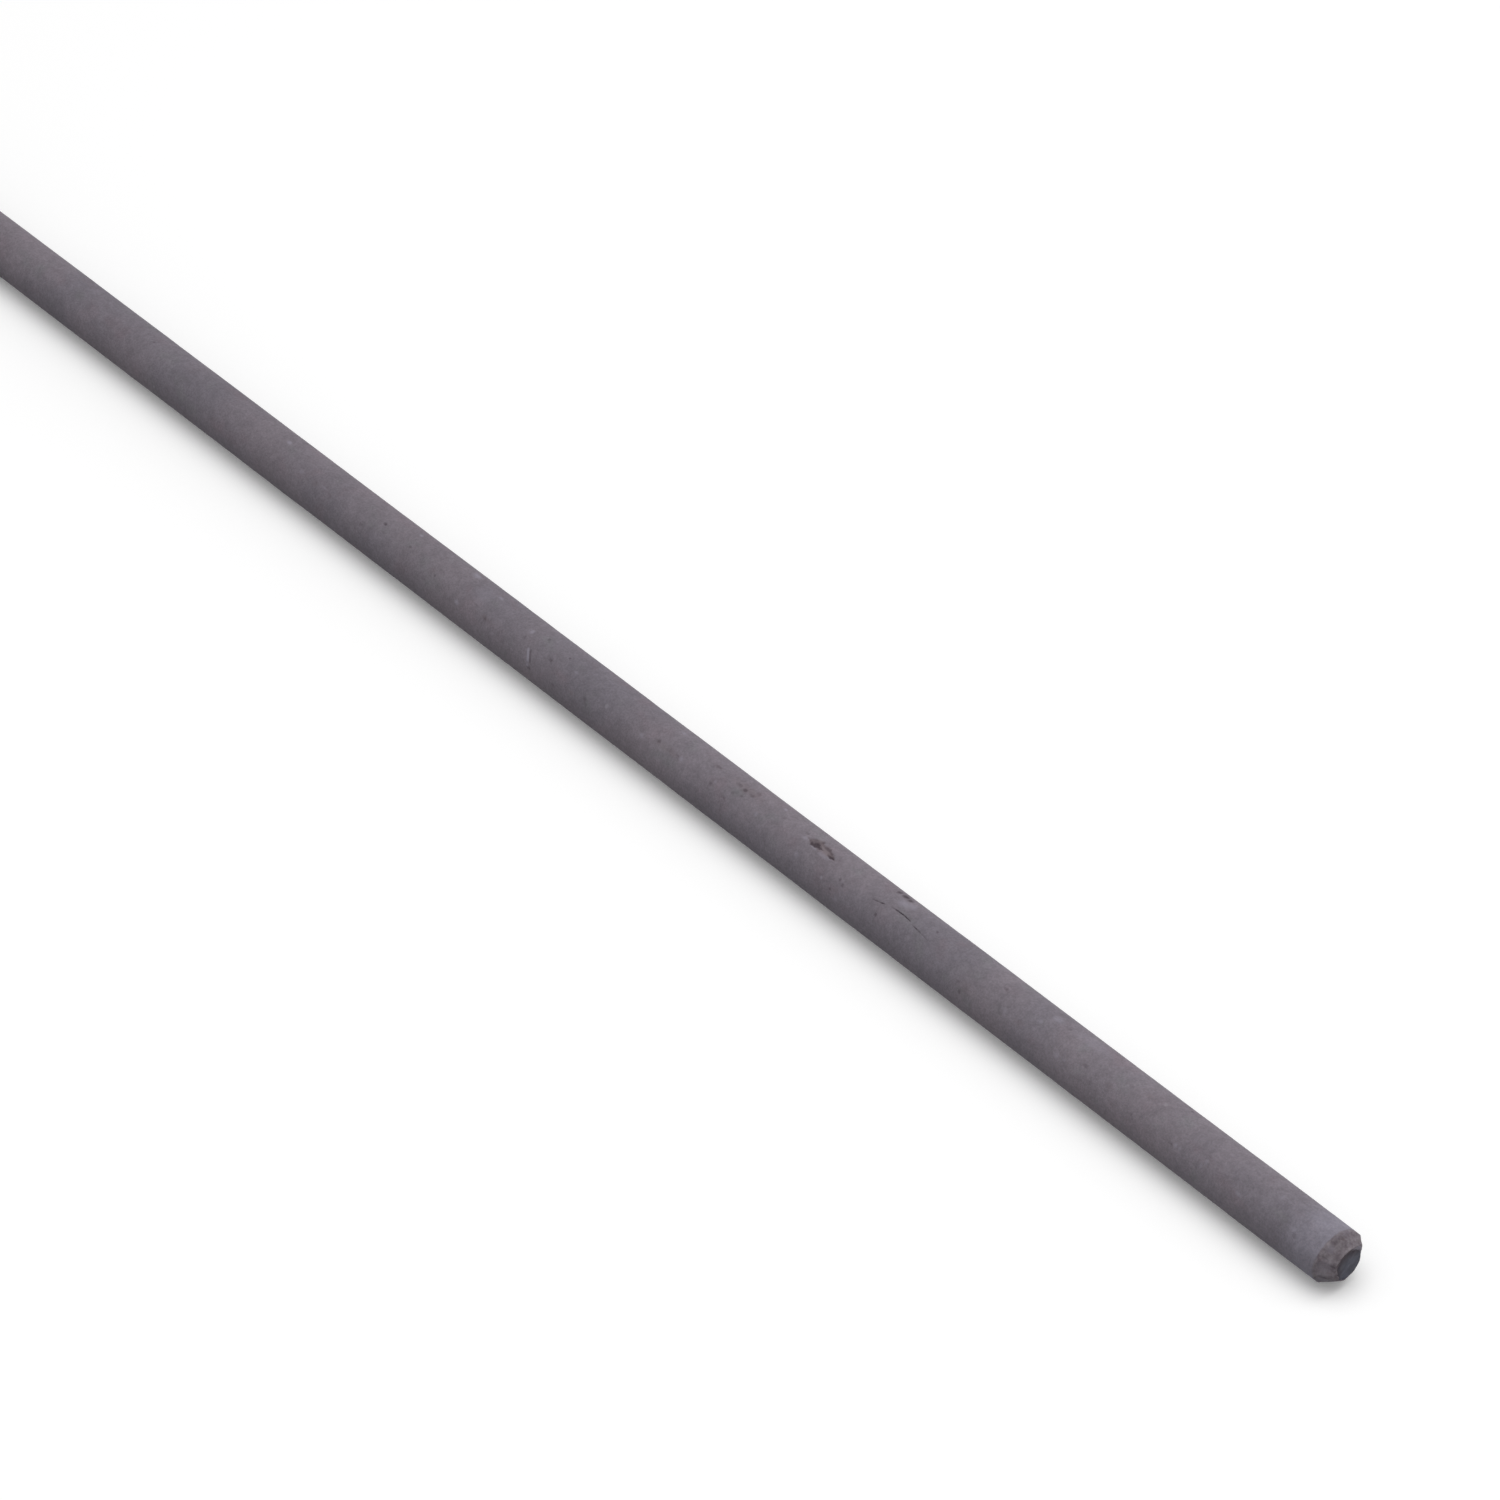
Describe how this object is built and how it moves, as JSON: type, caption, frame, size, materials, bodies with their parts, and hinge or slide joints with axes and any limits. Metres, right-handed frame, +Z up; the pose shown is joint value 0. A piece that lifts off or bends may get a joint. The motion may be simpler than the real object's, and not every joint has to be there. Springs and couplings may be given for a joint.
{
  "type": "stick welding electrode",
  "caption": "Straight flux-coated steel rod for arc welding, with a bare grip at one end and a ground striking tip at the other.",
  "frame": {"origin": "on the core wire's axis, at the cut end of the bare grip", "axes": "+X along the rod from the grip to the striking tip, +Z up with the pictured side between +Z and -Y"},
  "size_m": [0.35, 0.0054, 0.0054],
  "materials": {
    "wire_steel": "satin",
    "flux": "matte"
  },
  "bodies": {
    "root": {"core_wire": "wire_steel", "flux_coating": "flux"}
  },
  "joints": []
}
